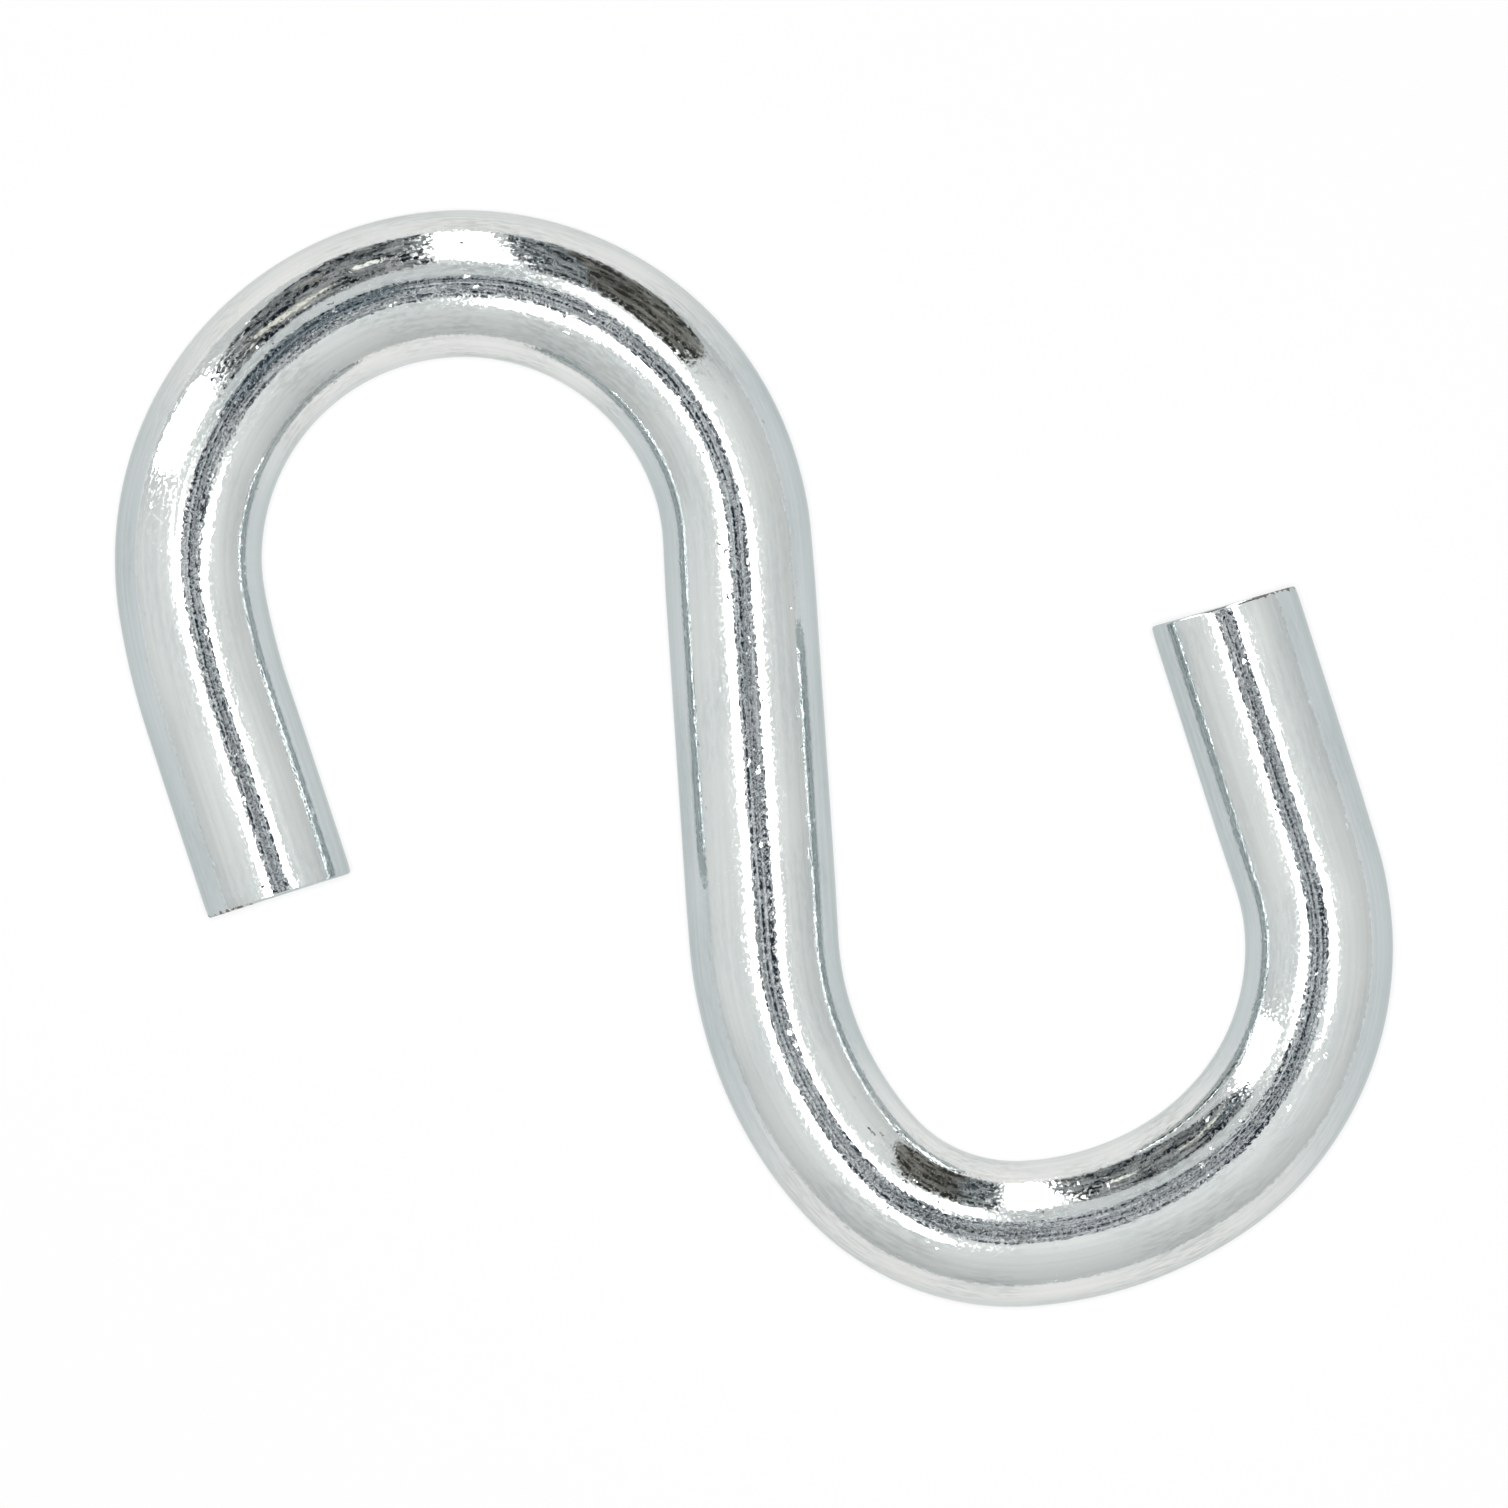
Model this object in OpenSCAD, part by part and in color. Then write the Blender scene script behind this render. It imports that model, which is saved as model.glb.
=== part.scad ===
// S hook, cold-bent from one cropped length of round steel rod.
// It lies flat on its side, with the shank along Y and the origin under the middle of its box.
// Each hook is followed outwards from the shank and turns left all the way, seen from above,
// so the upper hook hangs to the left of the shank and the lower hook to the right of it.

/* [Rod] */
// Diameter of the rod where it is straight
rod_d = 5; // [3:0.1:7]
// Share of its diameter that the rod loses as it stretches round a bend of one diameter's radius
bend_thinning = 0.022; // [0.01:0.001:0.06]
// Width of the worn edge round each cropped end
edge_break = 0.15; // [0.05:0.05:0.5]

/* [Shank] */
// Straight length between the two hooks
shank_len = 13.25; // [6:0.25:40]

/* [Upper hook] */
// Centreline radius where the rod was wound round the pin
upper_bend_r = 9.1; // [6:0.1:16]
// Angle of that bend
upper_bend_deg = 186; // [150:0.5:200]
// Centreline radius where the bend eases out into the leg
upper_ease_r = 24; // [10:0.5:40]
// Angle that the easing adds
upper_ease_deg = 8.5; // [1:0.5:12]
// Straight length from the easing to the tip
upper_leg = 6.5; // [3:0.25:12]
// Slant of the cropped end face
upper_crop_deg = 0.6; // [0:0.1:4]

/* [Lower hook] */
// Centreline radius where the rod leaves the shank
lower_lead_r = 12.4; // [8:0.1:18]
// Angle of that stretch
lower_lead_deg = 38; // [20:0.5:50]
// Centreline radius at the tightest part of the bend
lower_tight_r = 6.9; // [5:0.1:12]
// Angle of that stretch
lower_tight_deg = 51.5; // [30:0.5:65]
// Centreline radius where the rod sprang back
lower_slack_r = 11.4; // [8:0.1:16]
// Angle of that stretch
lower_slack_deg = 31; // [15:0.5:45]
// Centreline radius where the rod was wound round the pin
lower_bend_r = 9.05; // [6:0.05:14]
// Angle of that bend
lower_bend_deg = 73.5; // [45:0.5:85]
// Straight length from the bend to the tip
lower_leg = 9; // [3:0.25:14]
// Slant of the cropped end face
lower_crop_deg = 1.8; // [0:0.1:4]

/* [Hidden] */
$fn = 96;
rod_r = rod_d / 2;
run_on = rod_d / 50; // how far each length of rod runs on into its neighbour, the slimmer inside the other

// Each hook's bends in order from the shank: [centreline radius, angle]
upper_bends = [
    [upper_bend_r, upper_bend_deg],
    [upper_ease_r, upper_ease_deg],
];
lower_bends = [
    [lower_lead_r, lower_lead_deg],
    [lower_tight_r, lower_tight_deg],
    [lower_slack_r, lower_slack_deg],
    [lower_bend_r, lower_bend_deg],
];

function towards(deg) = [cos(deg), sin(deg)];

// Radius of the rod itself in a bend of that centreline radius: the tighter the bend, the slimmer
function bent_r(radius) = rod_r * (1 - bend_thinning * rod_d / radius);

// Direction of travel where bend i starts, or the leg when i is the number of bends
function heading(bends, i) = i == 0 ? 90 : heading(bends, i - 1) + bends[i - 1][1];

// Where bend i starts, or the leg when i is the number of bends
function start_of(bends, i) = i == 0
    ? [0, shank_len / 2]
    : turning_centre(bends, i - 1) + bends[i - 1][0] * towards(heading(bends, i) - 90);

// The point that bend i turns about, to the left of the direction of travel
function turning_centre(bends, i) = start_of(bends, i) - bends[i][0] * towards(heading(bends, i) - 90);

// The outermost points of the bends: where the rod travels along X or Y
function bend_extremes(bends) = [
    for (i = [0 : len(bends) - 1], quarter = [90 : 90 : 450])
        if (heading(bends, i) <= quarter && quarter <= heading(bends, i + 1))
            turning_centre(bends, i) + (bends[i][0] + bent_r(bends[i][0])) * towards(quarter - 90)
];

// The corners of the cropped end seen from above, on both sides of its worn edge
function tip_extremes(bends, leg, skew) =
    let (
        along = heading(bends, len(bends)),
        tip = start_of(bends, len(bends)) + leg * towards(along)
    )
    [
        for (side = [-1, 1], corner = [[rod_r - edge_break, 0], [rod_r, -edge_break]])
            tip + side * corner[0] * towards(along - skew + 90) + corner[1] * towards(along - skew)
    ];

extremes = concat(
    bend_extremes(upper_bends),
    tip_extremes(upper_bends, upper_leg, upper_crop_deg),
    -bend_extremes(lower_bends),
    -tip_extremes(lower_bends, lower_leg, lower_crop_deg),
    [[-rod_r, 0], [rod_r, 0]]
);
mid_x = (min([for (p = extremes) p.x]) + max([for (p = extremes) p.x])) / 2;
mid_y = (min([for (p = extremes) p.y]) + max([for (p = extremes) p.y])) / 2;

// Straight rod along +Y from the origin
module straight_rod(length) {
    rotate([-90, 0, 0]) cylinder(r = rod_r, h = length);
}

// Rod that turns left about the origin, setting off along +Y
module curved_rod(radius, angle) {
    spare = run_on / radius * 180 / PI;
    rotate([0, 0, -spare])
        rotate_extrude(angle = angle + 2 * spare)
            translate([radius, 0]) circle(r = bent_r(radius));
}

// What the cropping blade and the wear take off beyond an end at the origin
module crop_waste(depth) {
    rotate([-90, 0, 0])
        rotate_extrude()
            polygon([
                [0, 0],
                [rod_r - edge_break, 0],
                [rod_d, -rod_r - edge_break],
                [rod_d, depth],
                [0, depth],
            ]);
}

// Straight rod along +Y whose far end is cropped at a slight slant
module cropped_leg(length, skew) {
    spare = rod_r * tan(skew) + edge_break;
    difference() {
        translate([0, -run_on, 0]) straight_rod(run_on + length + spare);
        translate([0, length, 0]) rotate([0, 0, -skew]) crop_waste(2 * spare);
    }
}

// One hook: its bends in order from the shank, then its leg
module half_hook(bends, leg, skew) {
    for (i = [0 : len(bends) - 1])
        translate(turning_centre(bends, i))
            rotate([0, 0, heading(bends, i) - 90])
                curved_rod(bends[i][0], bends[i][1]);
    translate(start_of(bends, len(bends)))
        rotate([0, 0, heading(bends, len(bends)) - 90])
            cropped_leg(leg, skew);
}

module shank() {
    translate([0, -shank_len / 2 - run_on, 0]) straight_rod(shank_len + 2 * run_on);
}

module hook() {
    color("#b9c0c6")
        translate([-mid_x, -mid_y, rod_r]) {
            shank();
            half_hook(upper_bends, upper_leg, upper_crop_deg);
            rotate([0, 0, 180]) half_hook(lower_bends, lower_leg, lower_crop_deg);
        }
}

hook();
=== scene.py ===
import math

import bmesh
import bpy
from mathutils import Matrix, Vector, noise


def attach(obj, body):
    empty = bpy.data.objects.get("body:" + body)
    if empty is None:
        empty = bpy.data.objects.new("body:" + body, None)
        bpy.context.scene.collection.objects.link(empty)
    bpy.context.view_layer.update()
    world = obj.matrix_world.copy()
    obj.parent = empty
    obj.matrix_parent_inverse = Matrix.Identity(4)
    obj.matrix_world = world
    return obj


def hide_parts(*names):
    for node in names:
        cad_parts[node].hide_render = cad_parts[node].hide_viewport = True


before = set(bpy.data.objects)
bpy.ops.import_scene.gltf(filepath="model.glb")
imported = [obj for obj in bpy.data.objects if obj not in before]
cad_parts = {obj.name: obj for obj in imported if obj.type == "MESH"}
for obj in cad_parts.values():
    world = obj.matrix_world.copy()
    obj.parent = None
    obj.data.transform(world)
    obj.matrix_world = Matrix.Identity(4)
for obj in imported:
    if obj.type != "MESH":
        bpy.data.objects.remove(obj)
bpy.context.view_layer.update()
scene = bpy.context.scene
scene.view_settings.view_transform = "Standard"
mm = 0.001


def hexColour(text, level=1.0):  # sRGB hex to Blender's linear colour, times the level of a light
    parts = [int(text[i:i + 2], 16) / 255 for i in (1, 3, 5)]
    parts = [p / 12.92 if p <= 0.04045 else ((p + 0.055) / 1.055) ** 2.4 for p in parts]
    return [p * level for p in parts] + [1.0]


def addNode(tree, kind, inputs=None, **settings):  # inputs are values, or sockets to link from
    node = tree.nodes.new(kind)
    for name, value in settings.items():
        setattr(node, name, value)
    for name, value in (inputs or {}).items():
        if isinstance(value, bpy.types.NodeSocket):
            tree.links.new(value, node.inputs[name])
        else:
            node.inputs[name].default_value = value
    return node


def newMaterial(name):
    material = bpy.data.materials.new(name)
    material.use_nodes = True
    material.node_tree.nodes.clear()
    return material, material.node_tree


def newObject(name, bm, material, smooth=True):
    mesh = bpy.data.meshes.new(name)
    bm.to_mesh(mesh)
    bm.free()
    for face in mesh.polygons:
        face.use_smooth = smooth
    mesh.materials.append(material)
    made = bpy.data.objects.new(name, mesh)
    scene.collection.objects.link(made)
    return made


# The hook: one cropped length of rod, bent both ways from the middle of the shank
hook = {
    "rod": 4.996,                 # mm, diameter where it is straight, a hair inside the CAD rod
    "sides": 120,                 # faces round the rod
    "ringStep": 0.3,              # mm between rings
    "middle": (-0.0739, 0.5962),  # mm, the middle of the shank
    "height": 2.5,                # mm, of the rod's middle above the floor
    "shank": 13.25,
    "upperBends": ((9.1, 186, 0.977), (24, 8.5, 0.992)),  # mm, degrees, share of its width the rod keeps
    "upperLeg": 6.5,
    "upperSlant": 0.6,            # degrees, of the cropped end
    "lowerBends": ((12.4, 38, 0.985), (6.9, 51.5, 0.975), (11.4, 31, 0.965), (9.05, 73.5, 0.983)),
    "lowerLeg": 9.0,
    "lowerSlant": 1.8,
    "blend": 5,                   # rings on either side over which the rod narrows and widens
    "endRings": ((0, 1.6), (0.1, 1.3), (0.3, 1.0), (0.5, 0.75), (0.8, 0.5),
                 (1, 0.38), (1, 0.28), (1, 0.2), (1, 0.14)),  # share of the slant, mm back from the end
    "worn": 0.1,                  # mm, radius of the rim of a cropped end
    "wornSteps": 6,               # faces round that radius
    "faceRings": 16,              # rings from the rim to the middle of the end face
    "rollOver": 0.03,             # mm, how far the blade drew the rim in
    "rollReach": 0.5,             # mm, how far back from the rim that starts
    "uneven": 0.006,              # mm, how far the drawn rod is out of round
    "unevenSize": (2.3, 9),       # mm, of that, across and along
    "fracture": 0.05,             # mm, relief of the torn part of the end face
    "fractureBase": 0.7,          # share of it that is an even step
    "fractureGrain": (2.1, 5.3),  # lumps to the mm, coarse and fine
    "fractureFine": 0.5,          # how high the fine ones are beside the coarse
    "torn": (0.6, -0.9),          # mm above the rod's middle, where that part starts and is full
    "tornIn": 0.3,                # mm in from the rim, where it is full
    "nowhereNear": 9.0,           # mm, what the rod's own length says of its distance to a rim
    "weld": 0.0005,               # mm, closer than this two corners are one
}


def towards(degrees):
    return Vector((math.cos(math.radians(degrees)), math.sin(math.radians(degrees)), 0))


def between(value, start, full):  # 0 at the start to 1 where it is full
    return min(1, max(0, (value - start) / (full - start)))


class Rod:  # the growing end of the rod, in mm
    def __init__(self, bm, ring, middle, heading, way, drawn, back):
        self.bm, self.ring, self.place, self.heading, self.way = bm, ring, middle, heading, way
        self.drawn, self.back = drawn, back
        self.along = 0.0
        self.rings = []

    def verts(self):  # in the same order each run
        return list(dict.fromkeys(v for e in self.ring for v in e.verts))

    def grow(self):  # one more ring, on top of the last
        grown = bmesh.ops.extrude_edge_only(self.bm, edges=self.ring)["geom"]
        self.ring = [g for g in grown if isinstance(g, bmesh.types.BMEdge) and g.is_boundary]

    def keep(self, width=1.0, tip=hook["nowhereNear"], scale=1.0):
        for v in self.verts():
            across, up, _ = v[self.drawn]
            v[self.drawn] = (across * scale, up * scale, self.along * self.way)
            v[self.back] = tip
        self.rings.append([self.verts(), self.place.copy(), self.heading, width])


def runOn(rod, length, radius=0, width=1.0):  # straight on, or round a bend to the left
    steps = max(1, round(length / hook["ringStep"]))
    step = length / steps
    for i in range(steps):
        rod.grow()
        if radius:
            centre = rod.place + towards(rod.heading + 90) * radius
            turn = Matrix.Rotation(step / radius, 3, "Z")
            bmesh.ops.rotate(rod.bm, verts=rod.verts(), cent=centre, matrix=turn)
            rod.place = centre + turn @ (rod.place - centre)
            rod.heading += math.degrees(step / radius)
        else:
            bmesh.ops.translate(rod.bm, verts=rod.verts(), vec=towards(rod.heading) * step)
            rod.place = rod.place + towards(rod.heading) * step
        rod.along += step
        rod.keep(width)


def cropEnd(rod, slant):  # a sheared end face with a drawn-in, worn rim, closed at its middle
    radius = hook["rod"] / 2
    worn, reach = hook["worn"], hook["rollReach"]
    # each stop: the share of the slant so far, mm back from the end, mm in from the rod's side
    stops = [(share, gap, hook["rollOver"] * max(0, 1 - gap / reach) ** 2) for share, gap in hook["endRings"]]
    drawnIn = hook["rollOver"] * (1 - worn / reach) ** 2
    for i in range(hook["wornSteps"] + 1):
        a = math.radians(90 * i / hook["wornSteps"])
        stops.append((1, worn * (1 - math.sin(a)), drawnIn + worn * (1 - math.cos(a))))
    rim = stops[-1][2]
    rings = hook["faceRings"]
    stops += [(1, 0.0, rim + (radius - rim) * k / rings) for k in range(1, rings)]
    lastShare, lastGap, lastScale = stops[0][0], stops[0][1], 1.0
    for share, gap, inward in stops[1:]:
        rod.grow()
        move = towards(rod.heading) * (lastGap - gap)
        bmesh.ops.translate(rod.bm, verts=rod.verts(), vec=move)
        rod.place = rod.place + move
        rod.along += lastGap - gap
        turn = Matrix.Rotation(math.radians(-slant * (share - lastShare)), 3, "Z")
        bmesh.ops.rotate(rod.bm, verts=rod.verts(), cent=rod.place, matrix=turn)
        scale = (radius - inward) / radius
        bmesh.ops.scale(rod.bm, verts=rod.verts(), vec=(scale / lastScale,) * 3,
                        space=Matrix.Translation(-rod.place))
        rod.keep(1.0, gap if gap > 0 else rim - inward, scale / lastScale)
        lastShare, lastGap, lastScale = share, gap, scale
    rod.grow()
    bmesh.ops.pointmerge(rod.bm, verts=rod.verts(), merge_co=rod.place)


def bendHook():
    bm = bmesh.new()
    drawn = bm.verts.layers.float_vector.new("drawn")  # place in the straight rod, mm
    back = bm.verts.layers.float.new("fromTip")        # mm back from the rim, below 0 on the end face
    middle = Vector((*hook["middle"], hook["height"]))
    bmesh.ops.create_circle(bm, radius=hook["rod"] / 2, segments=hook["sides"],
                            matrix=Matrix.Translation(middle) @ Matrix.Rotation(math.pi / 2, 4, "X"))
    for v in bm.verts:
        v[drawn] = (v.co.x - middle.x, v.co.z - middle.z, 0)
    first = list(bm.edges)
    halves = []
    for heading, way, bends, leg, slant in (
        (90, 1, hook["upperBends"], hook["upperLeg"], hook["upperSlant"]),
        (270, -1, hook["lowerBends"], hook["lowerLeg"], hook["lowerSlant"]),
    ):
        rod = Rod(bm, first, middle.copy(), heading, way, drawn, back)
        if not halves:
            rod.keep()
        runOn(rod, hook["shank"] / 2)
        for radius, angle, width in bends:
            runOn(rod, math.radians(angle) * radius, radius, width)
        runOn(rod, leg - hook["endRings"][0][1])
        cropEnd(rod, slant)
        halves.append(rod.rings)
        print("hook: %d rings, tip at %.2f, %.2f mm" % (len(rod.rings), rod.place.x, rod.place.y))
    return bm, halves, drawn, back


def settleRings(halves, drawn, back):  # what bending, drawing and cropping do to the round rod
    size, length = hook["unevenSize"]
    coarse, fine = hook["fractureGrain"]
    for half in halves:
        widths = [ring[3] for ring in half]
        for n, (verts, place, heading, _) in enumerate(half):
            near = widths[max(0, n - hook["blend"]):n + hook["blend"] + 1]
            lost = 1 - sum(near) / len(near)
            left, ahead = towards(heading + 90), towards(heading)
            for v in verts:
                across, up, along = v[drawn]
                v.co -= left * (v.co - place).dot(left) * lost
                if v[back] > 0:
                    bump = noise.noise(Vector((across / size, up / size, along / length))) - 1
                    v.co += (v.co - place).normalized() * bump * hook["uneven"]
                else:  # the lower part of the face tore off, rougher than the part that was cut
                    torn = between(up, *hook["torn"]) * between(-v[back], 0, hook["tornIn"])
                    rough = noise.noise(Vector((across, up, along)) * coarse)
                    rough += hook["fractureFine"] * noise.noise(Vector((across, up, along)) * fine)
                    v.co -= ahead * hook["fracture"] * torn * max(0, hook["fractureBase"] + rough)


bm, halves, drawnLayer, backLayer = bendHook()
settleRings(halves, drawnLayer, backLayer)
bmesh.ops.remove_doubles(bm, verts=bm.verts, dist=hook["weld"])
bmesh.ops.recalc_face_normals(bm, faces=bm.faces)
bmesh.ops.scale(bm, verts=bm.verts, vec=(mm, mm, mm))
print("hook: %d faces, %d open edges" % (len(bm.faces), sum(e.is_boundary for e in bm.edges)))


# Bright zinc plate: drawn steel rod, barrel plated and passivated. It reads as a fairly sharp, faintly
# blue mirror, with a fine orange-peel grain, small flats that glint, and grey where the blade tore it.
zinc = {
    "film": "#dce1e1",
    "filmDeep": "#f0f3f4",       # how much deeper its tint is along some of the draw lines
    "deepFrom": (0.12, 0.4),     # how strong those lines are where that starts, and where it is full
    "sideReflectionPainted": "#c8cecf",         # painted reflection: the rod's two sides darker and bluer, standing in for the dimmer floor they mirror
    "sideReflectionPaintedBends": "#e6e6e4",    # painted reflection: in the bends the rod's sides are lighter and warmer instead, standing in for what they mirror there
    "sideReflectionFrom": (1.7, 1.8),     # mm out from the rod's middle, where the painted side colour starts and is full
    "bends": (21.5, 12, 5),      # mm along each hook: their middle, and how far off it they end and are full
    "edge": "#dde1e1",           # the passivated film greys the plating at a glancing angle
    "smooth": 0.035,             # roughness between the grains
    "grainy": 0.16,              # roughness on the coarsest grains, which catch the lamps
    "grainyFrom": (0.5, 0.6),    # how high the grain is where that starts, and where it is full
    "wave": (2.2, 4.0),          # mm, across and along the rod: the bar's own unevenness
    "waveDepth": 0.012,          # mm
    "draw": (0.2, 9.0),          # mm, lines left by the drawing die
    "drawDepth": 0.0012,
    "grain": (0.1, 0.14),        # mm, the plating's grain, which is finer and is drawn as coarse as shows
    "grainDepth": 0.002,
    "scuff": (0.13, 0.45),       # mm, short streaks that the barrel's load rubbed, mostly in the bends
    "scuffDepth": 0.0004,
    "scuffFrom": (0.42, 0.66),
    "scuffTint": "#ededeb",
    "scuffStraights": 0.35,      # their strength there
    "scuffPatches": (0.4, 0.6),  # how high the bar is where they start, and where they are full
    "flake": (0.1, 0.16),        # mm, flats where the barrel's load knocked together
    "flakes": 0.025,             # share of the surface that they take
    "flakeTilt": 6.6,            # degrees, the most that they lean each way
    "flakeRag": (1.3, 2.5),      # how finely and how far their outlines wander, in flats
    "faceRough": 0.32,           # of the sheared end face
    "faceFade": 0.15,            # mm in from the rim, where that is full
    "lip": "#7d7973",            # the thin ragged lip that the blade left on part of the rim
    "lipRough": 0.5,
    "lipRag": 0.25,              # mm, steps in its edge
    "lipFrom": (0.4, 0.62),      # how high those steps are at its least and its most
    "lipReach": (-0.02, 0.13),   # mm back from the rim, its least and its most
    "lipSide": (0.3, 0.9),       # mm towards the hook's outer side, where it starts and is whole
    "lipNone": -0.2,             # mm, what holds it back on the other side
    "lipOver": 0.03,             # mm, how far it laps over the end face
}


def zincPlate():
    material, tree = newMaterial("brightZincPlate")
    drawn = addNode(tree, "ShaderNodeAttribute", attribute_name="drawn").outputs["Vector"]
    back = addNode(tree, "ShaderNodeAttribute", attribute_name="fromTip").outputs["Fac"]
    split = addNode(tree, "ShaderNodeSeparateXYZ", {0: drawn}).outputs
    across, along = split[0], split[2]
    place, pattern, height = {}, {}, 0.0
    for name in ("wave", "draw", "scuff", "grain", "flake"):
        wide, long = zinc[name]
        place[name] = addNode(tree, "ShaderNodeVectorMath", {0: drawn, 1: (1 / wide, 1 / wide, 1 / long)},
                              operation="MULTIPLY").outputs[0]
    for name in ("wave", "draw", "scuff", "grain"):
        pattern[name] = addNode(tree, "ShaderNodeTexNoise",
                                {"Vector": place[name], "Scale": 1.0, "Detail": 1.0}).outputs["Fac"]
        height = addNode(tree, "ShaderNodeMath", {0: pattern[name], 1: zinc[name + "Depth"], 2: height},
                         operation="MULTIPLY_ADD").outputs[0]

    # flats: a few ragged cells of the plating lean their own way
    finely, far = zinc["flakeRag"]
    ragged = addNode(tree, "ShaderNodeTexNoise",
                     {"Vector": place["flake"], "Scale": finely, "Detail": 1.0}).outputs["Color"]
    ragged = addNode(tree, "ShaderNodeVectorMath", {0: ragged, 1: (far, far, far), 2: place["flake"]},
                     operation="MULTIPLY_ADD").outputs[0]
    cells = addNode(tree, "ShaderNodeTexVoronoi", {"Vector": ragged, "Scale": 1.0}).outputs["Color"]
    chance = addNode(tree, "ShaderNodeSeparateColor", {0: cells}).outputs
    isFlat = addNode(tree, "ShaderNodeMath", {0: chance[0], 1: 1 - zinc["flakes"]},
                     operation="GREATER_THAN").outputs[0]
    lean = addNode(tree, "ShaderNodeMath", {0: isFlat, 1: 2 * math.radians(zinc["flakeTilt"])},
                   operation="MULTIPLY").outputs[0]
    aside = addNode(tree, "ShaderNodeCombineXYZ", {0: chance[1], 1: chance[2], 2: 0.5}).outputs[0]
    aside = addNode(tree, "ShaderNodeVectorMath", {0: aside, 1: (0.5, 0.5, 0.5)},
                    operation="SUBTRACT").outputs[0]
    aside = addNode(tree, "ShaderNodeVectorMath", {0: aside, "Scale": lean}, operation="SCALE").outputs[0]
    plain = addNode(tree, "ShaderNodeNewGeometry").outputs["Normal"]
    leaning = addNode(tree, "ShaderNodeVectorMath", {0: plain, 1: aside}, operation="ADD").outputs[0]
    leaning = addNode(tree, "ShaderNodeVectorMath", {0: leaning}, operation="NORMALIZE").outputs[0]
    bump = addNode(tree, "ShaderNodeBump",
                   {"Strength": 1.0, "Distance": mm, "Height": height, "Normal": leaning}).outputs["Normal"]

    # the film: painted reflection on the rod's two sides, darker and cooler on the straights and lighter in
    # the bends; deeper along some of the draw lines
    middle, away, full = zinc["bends"]
    bent = addNode(tree, "ShaderNodeMath", {0: along}, operation="ABSOLUTE").outputs[0]
    bent = addNode(tree, "ShaderNodeMath", {0: bent, 1: middle}, operation="SUBTRACT").outputs[0]
    bent = addNode(tree, "ShaderNodeMath", {0: bent}, operation="ABSOLUTE").outputs[0]
    bent = addNode(tree, "ShaderNodeMapRange", {0: bent, 1: away, 2: full},
                   interpolation_type="SMOOTHSTEP").outputs[0]
    # the rod's two sides: painted reflection mixed into the film, darker on the straights and lighter in the
    # bends
    start, full = zinc["sideReflectionFrom"]
    paintedSideMask = addNode(tree, "ShaderNodeMath", {0: across}, operation="ABSOLUTE").outputs[0]
    paintedSideMask = addNode(tree, "ShaderNodeMapRange", {0: paintedSideMask, 1: start, 2: full}).outputs[0]
    paintedSideMask = addNode(tree, "ShaderNodeMapRange",
                    {0: back, 1: 0.0, 2: -zinc["faceFade"], 3: paintedSideMask, 4: 0.0}).outputs[0]
    sides = addNode(tree, "ShaderNodeMix",
                    {0: bent, 6: hexColour(zinc["sideReflectionPainted"]), 7: hexColour(zinc["sideReflectionPaintedBends"])},
                    data_type="RGBA").outputs[2]
    film = addNode(tree, "ShaderNodeMix", {0: paintedSideMask, 6: hexColour(zinc["film"]), 7: sides},
                   data_type="RGBA").outputs[2]
    start, full = zinc["deepFrom"]
    deep = addNode(tree, "ShaderNodeMath", {0: pattern["wave"], 1: pattern["draw"]},
                   operation="MULTIPLY").outputs[0]
    deep = addNode(tree, "ShaderNodeMapRange", {0: deep, 1: start, 2: full}).outputs[0]
    film = addNode(tree, "ShaderNodeMix", {0: deep, 6: film, 7: hexColour(zinc["filmDeep"])},
                   data_type="RGBA", blend_type="MULTIPLY").outputs[2]

    # scuffs, in patches
    scuffed = addNode(tree, "ShaderNodeMapRange", {0: bent, 3: zinc["scuffStraights"], 4: 1.0}).outputs[0]
    for name, edges in (("wave", "scuffPatches"), ("scuff", "scuffFrom")):
        start, full = zinc[edges]
        scuffed = addNode(tree, "ShaderNodeMapRange",
                          {0: pattern[name], 1: start, 2: full, 3: 0.0, 4: scuffed}).outputs[0]
    film = addNode(tree, "ShaderNodeMix", {0: scuffed, 6: film, 7: hexColour(zinc["scuffTint"])},
                   data_type="RGBA", blend_type="MULTIPLY").outputs[2]

    start, full = zinc["grainyFrom"]
    rough = addNode(tree, "ShaderNodeMapRange",
                    {0: pattern["grain"], 1: start, 2: full, 3: zinc["smooth"], 4: zinc["grainy"]}).outputs[0]
    onFace = addNode(tree, "ShaderNodeMapRange", {0: back, 1: 0.0, 2: -zinc["faceFade"]}).outputs[0]
    rough = addNode(tree, "ShaderNodeMix", {0: onFace, 2: rough, 3: zinc["faceRough"]}).outputs[0]

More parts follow.
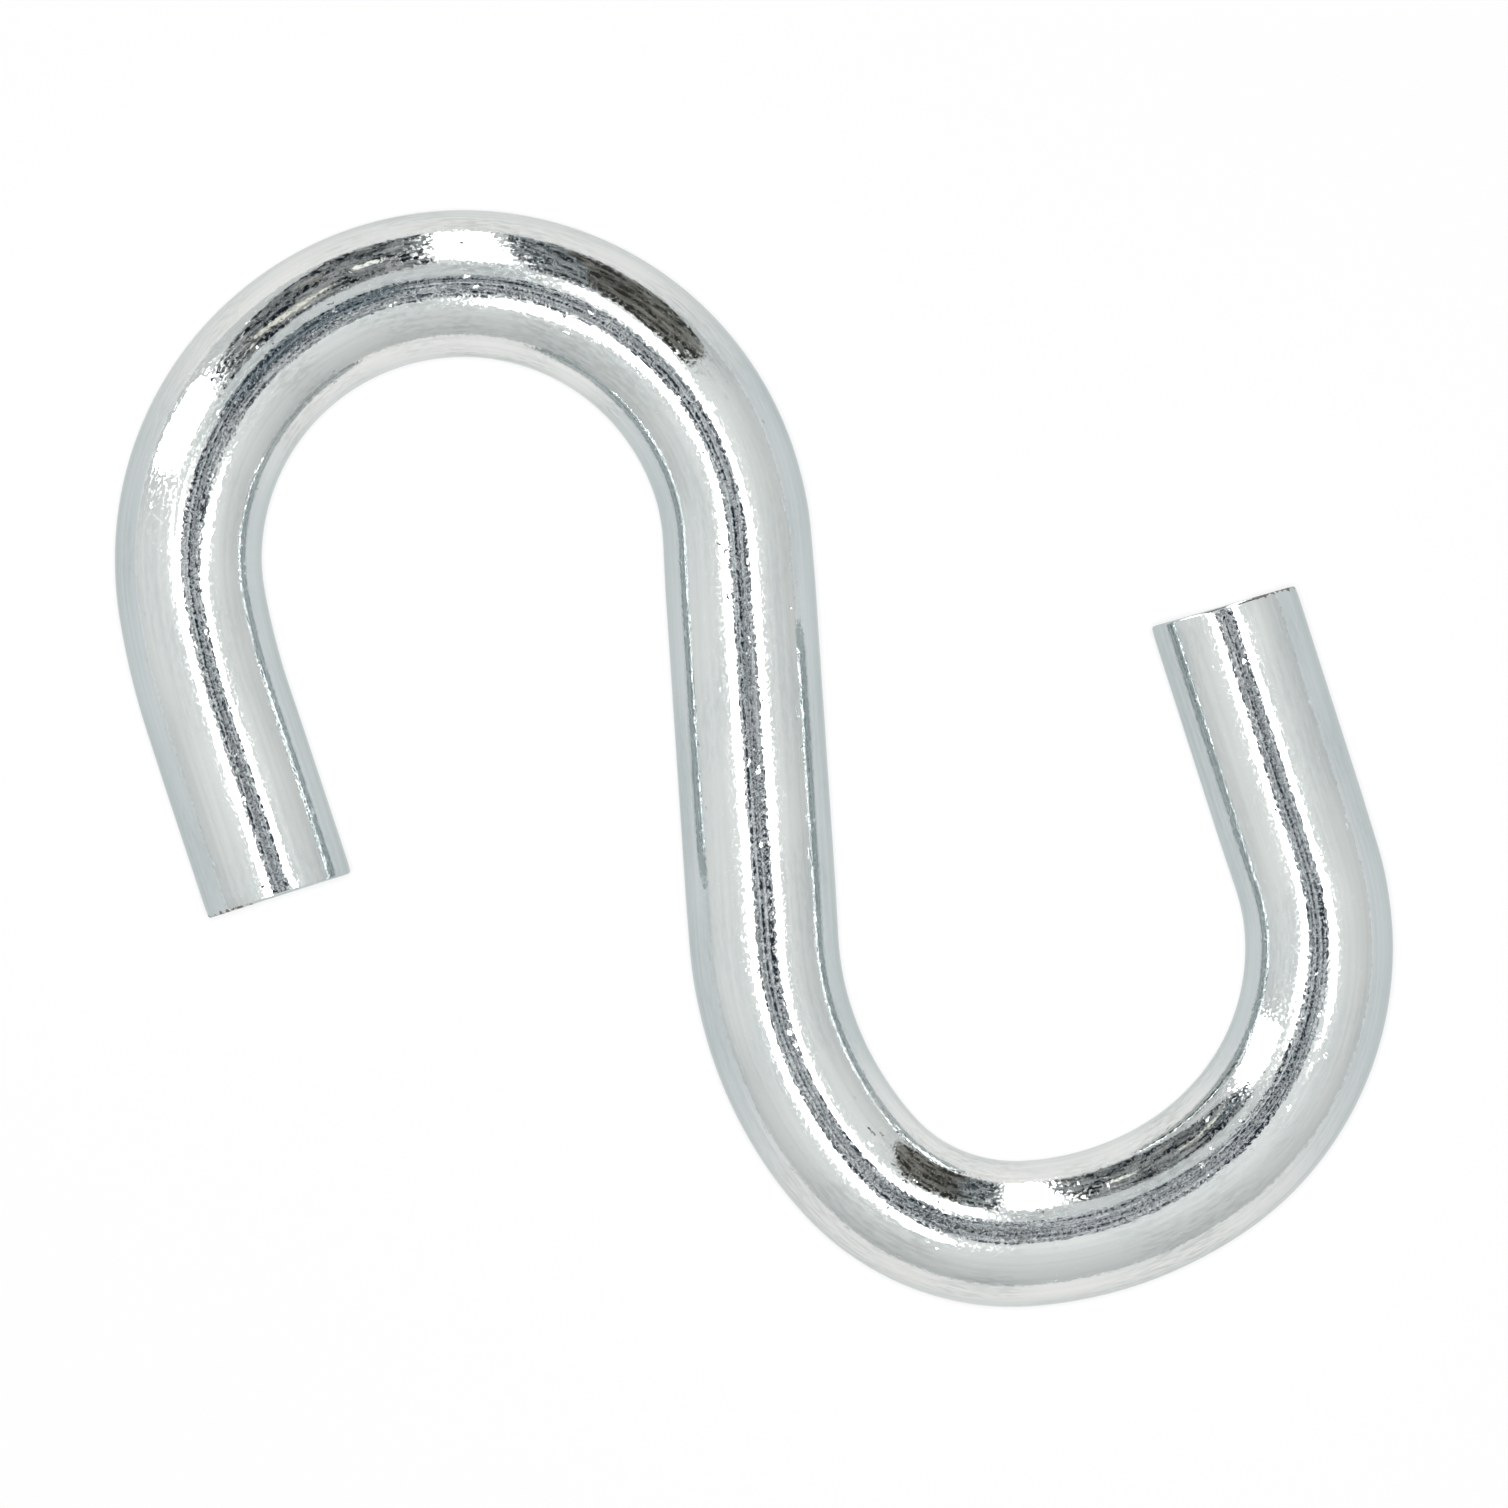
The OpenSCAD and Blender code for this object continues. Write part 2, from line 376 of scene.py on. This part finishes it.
    # the lip: on the outer side of each hook, a ragged band reaches back over the rim
    steps = addNode(tree, "ShaderNodeVectorMath", {0: drawn, "Scale": 1 / zinc["lipRag"]},
                    operation="SCALE").outputs[0]
    steps = addNode(tree, "ShaderNodeTexNoise", {"Vector": steps, "Scale": 1.0, "Detail": 3.0}).outputs["Fac"]
    (start, full), (least, most) = zinc["lipFrom"], zinc["lipReach"]
    steps = addNode(tree, "ShaderNodeMapRange", {0: steps, 1: start, 2: full, 3: least, 4: most}).outputs[0]
    start, full = zinc["lipSide"]
    outer = addNode(tree, "ShaderNodeMath", {0: along}, operation="SIGN").outputs[0]
    outer = addNode(tree, "ShaderNodeMath", {0: outer, 1: across}, operation="MULTIPLY").outputs[0]
    reach = addNode(tree, "ShaderNodeMapRange",
                    {0: outer, 1: start, 2: full, 3: zinc["lipNone"], 4: 0.0}).outputs[0]
    reach = addNode(tree, "ShaderNodeMath", {0: steps, 1: reach}, operation="ADD").outputs[0]
    onRim = addNode(tree, "ShaderNodeMath", {0: back, 1: reach}, operation="LESS_THAN").outputs[0]
    lip = addNode(tree, "ShaderNodeMath", {0: back, 1: -zinc["lipOver"]}, operation="GREATER_THAN").outputs[0]
    lip = addNode(tree, "ShaderNodeMath", {0: lip, 1: onRim}, operation="MULTIPLY").outputs[0]
    film = addNode(tree, "ShaderNodeMix", {0: lip, 6: film, 7: hexColour(zinc["lip"])},
                   data_type="RGBA").outputs[2]
    rough = addNode(tree, "ShaderNodeMix", {0: lip, 2: rough, 3: zinc["lipRough"]}).outputs[0]

    shader = addNode(tree, "ShaderNodeBsdfPrincipled", {
        "Base Color": film,
        "Metallic": 1.0,
        "Roughness": rough,
        "Specular Tint": hexColour(zinc["edge"]),
        "Normal": bump,
    })
    addNode(tree, "ShaderNodeOutputMaterial", {"Surface": shader.outputs["BSDF"]})
    return material


hookPiece = newObject("s_hook", bm, zincPlate())
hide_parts("hook")
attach(hookPiece, "root")
print("hook: zinc plated")


# Camera, straight above the hook that lies on its side
view = {
    "aim": (0.008, 0.123),  # mm, the point under the middle of the frame
    "turn": -3.78,          # degrees about the vertical
    "width": 49.93,         # mm across the frame at the height of the rod's middle
    "distance": 750.0,      # mm above the rod's middle
    "sensor": 36,           # mm
    "clip": (0.05, 10),     # m
}
lens = bpy.data.cameras.new("overhead")
lens.sensor_width = view["sensor"]
lens.lens = view["sensor"] * view["distance"] / view["width"]
lens.clip_start, lens.clip_end = view["clip"]
camera = bpy.data.objects.new("overhead", lens)
camera.location = (view["aim"][0] * mm, view["aim"][1] * mm, (view["distance"] + hook["height"]) * mm)
camera.rotation_euler = (0, 0, math.radians(view["turn"]))
scene.collection.objects.link(camera)
scene.camera = camera
print("camera: overhead, lens %.0f mm" % lens.lens)


# The light tent: pale walls, two long lamps beside the lens, and the gaps between its sheets.
# The rod mirrors the walls and the sheets; matt surfaces see only an even fill and one soft lamp.
tent = {
    "wallTop": "#fffefc",
    "wallFoot": "#d9d8d7",
    "wallLevel": 1.06,
    "wallCurve": 1.3,           # above 1, the foot's tone reaches further up
    "leftGlow": 0.19,           # how much brighter the wall is far to the left
    "leftFrom": (-0.7, -1.0),   # how far left that starts and is full
    "leftFade": (0.12, 0.3),    # how far off straight left it fades and is gone
    "frontShade": 0.1,          # how much darker the wall is towards the foot of the frame
    "frontFrom": (-0.4, -0.85),
    "fill": "#7c7c7c",          # what the walls give to matt surfaces
    "overhead": 0.8,            # and what the soft lamp round the lens gives them
    "overheadSize": 0.12,       # m
    "overheadHeight": 0.8,
    "patchEdge": (0.42, 0.62),  # where a sheet's dark patches end and its light ones are full
    "sheetGap": 0.05,           # mm between sheets of one height
    "floor": "#fefefe",
    "floorRough": 0.9,
    "floorGlow": 0.7,           # share of the card's white that no shadow reaches
    "floorSize": 3,             # m, from the middle to each side
}
# Each sheet: the colours of its dark and light patches, their level, their size in degrees, its height
# in mm, and its corners in mm from above the middle of the shank. An earlier sheet hangs below a later one.
lampWhite, lampLevel = "#fff9f8", 9.5
sheets = {
    "leftLamp": (lampWhite, lampWhite, lampLevel, 9, 220, (
        (-138, 22), (-133, 33), (-92, 33), (-80, 22), (-66, 16), (-57, 0), (-43, -33), (-34, -62),
        (-20, -88), (-19, -108), (-21, -134), (-38, -138), (-48, -130), (-78, -80), (-92, -20), (-96, 0))),
    "rightLamp": (lampWhite, lampWhite, lampLevel, 9, 220, (
        (24, 96), (32, 124), (41, 136), (50, 137), (57, 130), (71, 104), (74, 64), (90, 38), (135, 0),
        (142, -34), (120, -46), (104, -32), (88, -10), (79, 0), (58, 26), (46, 44), (33, 74))),
    "farLamp": (lampWhite, lampWhite, lampLevel, 9, 220, (
        (-17, 180), (10, 170), (20, 205), (29, 325), (780, 12000), (-1230, 12000), (-52, 450), (-34, 255))),
    "sideLamp": (lampWhite, lampWhite, lampLevel, 9, 220, (
        (-150, 50), (-138, 78), (-143, 92), (-320, 226), (-1025, 680), (-2000, 703), (-2000, 615),
        (-294, 92))),
    "faintStreak": ("#9e9790", "#9e9790", 1.0, 9, 219.9, (
        (-232, 436), (-284, 533), (-320, 512), (-262, 419))),
    "whiteStreak": ("#fffbf3", "#fffbf3", 1.3, 9, 219.9, (
        (-89, 290), (-111, 364), (-149, 351), (-118, 279))),
    "creamStreak": ("#fffaeb", "#fffaeb", 1.08, 9, 90, (
        (-86, 85), (-71, 70), (-54, 67), (-51, 70), (-49, 88), (-54, 94), (-60, 84))),
    "slateGap": ("#242c30", "#b5b8ba", 1.0, 3, 219.8, (
        (24, 154), (45, 144), (62, 150), (82, 214), (131, 335), (219, 555), (1100, 3600), (3000, 12000),
        (1500, 12000), (45, 380), (30, 200))),
    "rightGap": ("#3a3835", "#938f89", 1.0, 5, 220, (
        (26, 165), (75, 140), (95, 102), (320, 290), (695, 633), (1799, 2043), (6000, 9000), (1500, 12000),
        (45, 320), (34, 200))),
    "leftGap": ("#1e232b", "#b3b3b3", 1.0, 5, 220, (
        (-26, 168), (-46, 250), (-62, 450), (-1400, 12000), (-5000, 10500), (-1811, 3695), (-667, 887),
        (-446, 419), (-320, 245), (-105, 72))),
    "lensPort": ("#27303c", "#f6f6f8", 1.0, 3, 220, (
        (-65, 10), (-30, 42), (-10, 66), (20, 64), (40, 45), (78, 15), (78, -10), (60, -42), (42, -70),
        (8, -78), (-20, -75), (-35, -40))),
    "blueShade": ("#10212f", "#9ea6ad", 1.0, 3, 40, (
        (-12.4, 8.5), (-11.6, 9.4), (-10.5, 10.0), (-14.1, 22.5), (-17.2, 21.3), (-19.8, 19.5),
        (-22.2, 17.2), (-23.9, 14.6))),
    "shadeByLens": ("#e7e7e7", "#e7e7e7", 1.0, 9, 220, (
        (-85, 45), (-105, 72), (-26, 168), (25, 160), (12, 95), (10, 60), (-40, 20))),
}


def glowingSheet(name, dark, light, level, patch, height, turnOfNoise):
    material, tree = newMaterial(name)
    # what is behind a gap, in patches of so many degrees seen from the hook
    place = addNode(tree, "ShaderNodeTexCoord").outputs["Object"]
    out = addNode(tree, "ShaderNodeVectorMath", {0: place}, operation="LENGTH").outputs["Value"]
    down = addNode(tree, "ShaderNodeMath", {0: out, 1: height * mm}, operation="ARCTAN2").outputs[0]
    way = addNode(tree, "ShaderNodeVectorMath", {0: place}, operation="NORMALIZE").outputs[0]
    angles = addNode(tree, "ShaderNodeVectorMath", {0: way, "Scale": down}, operation="SCALE").outputs[0]
    angles = addNode(tree, "ShaderNodeVectorMath", {0: angles, 1: (0, 0, turnOfNoise)},
                     operation="ADD").outputs[0]
    patches = addNode(tree, "ShaderNodeTexNoise",
                      {"Vector": angles, "Scale": math.degrees(1) / patch, "Detail": 2.0}).outputs["Fac"]
    start, full = tent["patchEdge"]
    patches = addNode(tree, "ShaderNodeMapRange", {0: patches, 1: start, 2: full}).outputs[0]
    colour = addNode(tree, "ShaderNodeMix",
                     {0: patches, 6: hexColour(dark, level), 7: hexColour(light, level)},
                     data_type="RGBA").outputs[2]
    glow = addNode(tree, "ShaderNodeEmission", {"Color": colour, "Strength": 1.0}).outputs[0]
    addNode(tree, "ShaderNodeOutputMaterial", {"Surface": glow})
    material.cycles.emission_sampling = "NONE"
    return material


def hangTent():
    turn = Matrix.Rotation(math.radians(view["turn"]), 4, "Z")
    middle = [c * mm for c in hook["middle"]]
    for number, (name, (dark, light, level, patch, height, corners)) in enumerate(sheets.items()):
        bm = bmesh.new()
        bmesh.ops.contextual_create(bm, geom=[bm.verts.new((x * mm, y * mm, 0)) for x, y in corners])
        glow = glowingSheet(name, dark, light, level, patch, height, number)
        sheet = newObject(name, bm, glow, smooth=False)
        sheet.matrix_world = Matrix.Translation((*middle, (height + number * tent["sheetGap"]) * mm)) @ turn
        sheet.visible_camera = sheet.visible_diffuse = sheet.visible_shadow = False
        sheet.visible_transmission = False


def seenOrMirrored(tree):  # 1 for what the camera sees, straight, mirrored or through glass
    path = addNode(tree, "ShaderNodeLightPath").outputs
    seen = addNode(tree, "ShaderNodeMath", {0: path["Is Camera Ray"], 1: path["Is Glossy Ray"]},
                   operation="ADD").outputs[0]
    return addNode(tree, "ShaderNodeMath", {0: seen, 1: path["Is Transmission Ray"]},
                   operation="ADD").outputs[0]


def lightTent():
    world = bpy.data.worlds.new("tent")
    world.use_nodes = True
    tree = world.node_tree
    tree.nodes.clear()
    way = addNode(tree, "ShaderNodeTexCoord").outputs["Generated"]
    right, away, up = addNode(tree, "ShaderNodeSeparateXYZ", {0: way}).outputs
    rise = addNode(tree, "ShaderNodeMath", {0: up, 1: 0.0}, operation="MAXIMUM").outputs[0]
    rise = addNode(tree, "ShaderNodeMath", {0: rise, 1: tent["wallCurve"]}, operation="POWER").outputs[0]
    foot, top = (hexColour(tent[name], tent["wallLevel"]) for name in ("wallFoot", "wallTop"))
    walls = addNode(tree, "ShaderNodeMix", {0: rise, 6: foot, 7: top}, data_type="RGBA").outputs[2]
    start, full = tent["leftFrom"]
    glow = addNode(tree, "ShaderNodeMapRange",
                   {0: right, 1: start, 2: full, 3: 0.0, 4: tent["leftGlow"]}).outputs[0]
    start, full = tent["leftFade"]
    aside = addNode(tree, "ShaderNodeMath", {0: away}, operation="ABSOLUTE").outputs[0]
    glow = addNode(tree, "ShaderNodeMapRange", {0: aside, 1: start, 2: full, 3: glow, 4: 0.0}).outputs[0]
    start, full = tent["frontFrom"]
    shade = addNode(tree, "ShaderNodeMapRange",
                    {0: away, 1: start, 2: full, 3: 1.0, 4: 1 - tent["frontShade"]}).outputs[0]
    tone = addNode(tree, "ShaderNodeMath", {0: glow, 1: shade}, operation="ADD").outputs[0]
    walls = addNode(tree, "ShaderNodeVectorMath", {0: walls, "Scale": tone}, operation="SCALE").outputs[0]
    light = addNode(tree, "ShaderNodeMix", {0: seenOrMirrored(tree), 6: hexColour(tent["fill"]), 7: walls},
                    data_type="RGBA").outputs[2]
    back = addNode(tree, "ShaderNodeBackground", {"Color": light, "Strength": 1.0})
    addNode(tree, "ShaderNodeOutputWorld", {"Surface": back.outputs[0]})
    scene.world = world

    lamp = bpy.data.lights.new("overheadLamp", "AREA")
    lamp.shape, lamp.size = "DISK", tent["overheadSize"]
    disc = (lamp.size / 2) ** 2
    share = disc / (disc + tent["overheadHeight"] ** 2)  # of the floor's light, from a disc of level 1
    lamp.energy = tent["overhead"] / share * math.pi ** 2 * disc
    soft = bpy.data.objects.new("overheadLamp", lamp)
    soft.location = (0, 0, tent["overheadHeight"])
    soft.visible_glossy = soft.visible_camera = False
    scene.collection.objects.link(soft)


def layFloor():
    bm = bmesh.new()
    bmesh.ops.create_grid(bm, x_segments=1, y_segments=1, size=tent["floorSize"])
    material, tree = newMaterial("whiteCard")  # matt white card: an even pale ground with a soft shadow
    matt = addNode(tree, "ShaderNodeBsdfPrincipled", {
        "Base Color": hexColour(tent["floor"]),
        "Roughness": tent["floorRough"],
        "Specular IOR Level": 0.0,
    })
    white = addNode(tree, "ShaderNodeEmission", {"Color": hexColour(tent["floor"]), "Strength": 1.0})
    even = addNode(tree, "ShaderNodeMath", {0: seenOrMirrored(tree), 1: tent["floorGlow"]},
                   operation="MULTIPLY").outputs[0]
    card = addNode(tree, "ShaderNodeMixShader", {0: even, 1: matt.outputs[0], 2: white.outputs[0]})
    addNode(tree, "ShaderNodeOutputMaterial", {"Surface": card.outputs[0]})
    material.cycles.emission_sampling = "NONE"
    newObject("floor", bm, material, smooth=False)


hangTent()
lightTent()
layFloor()
print("tent: %d sheets and a floor" % len(sheets))
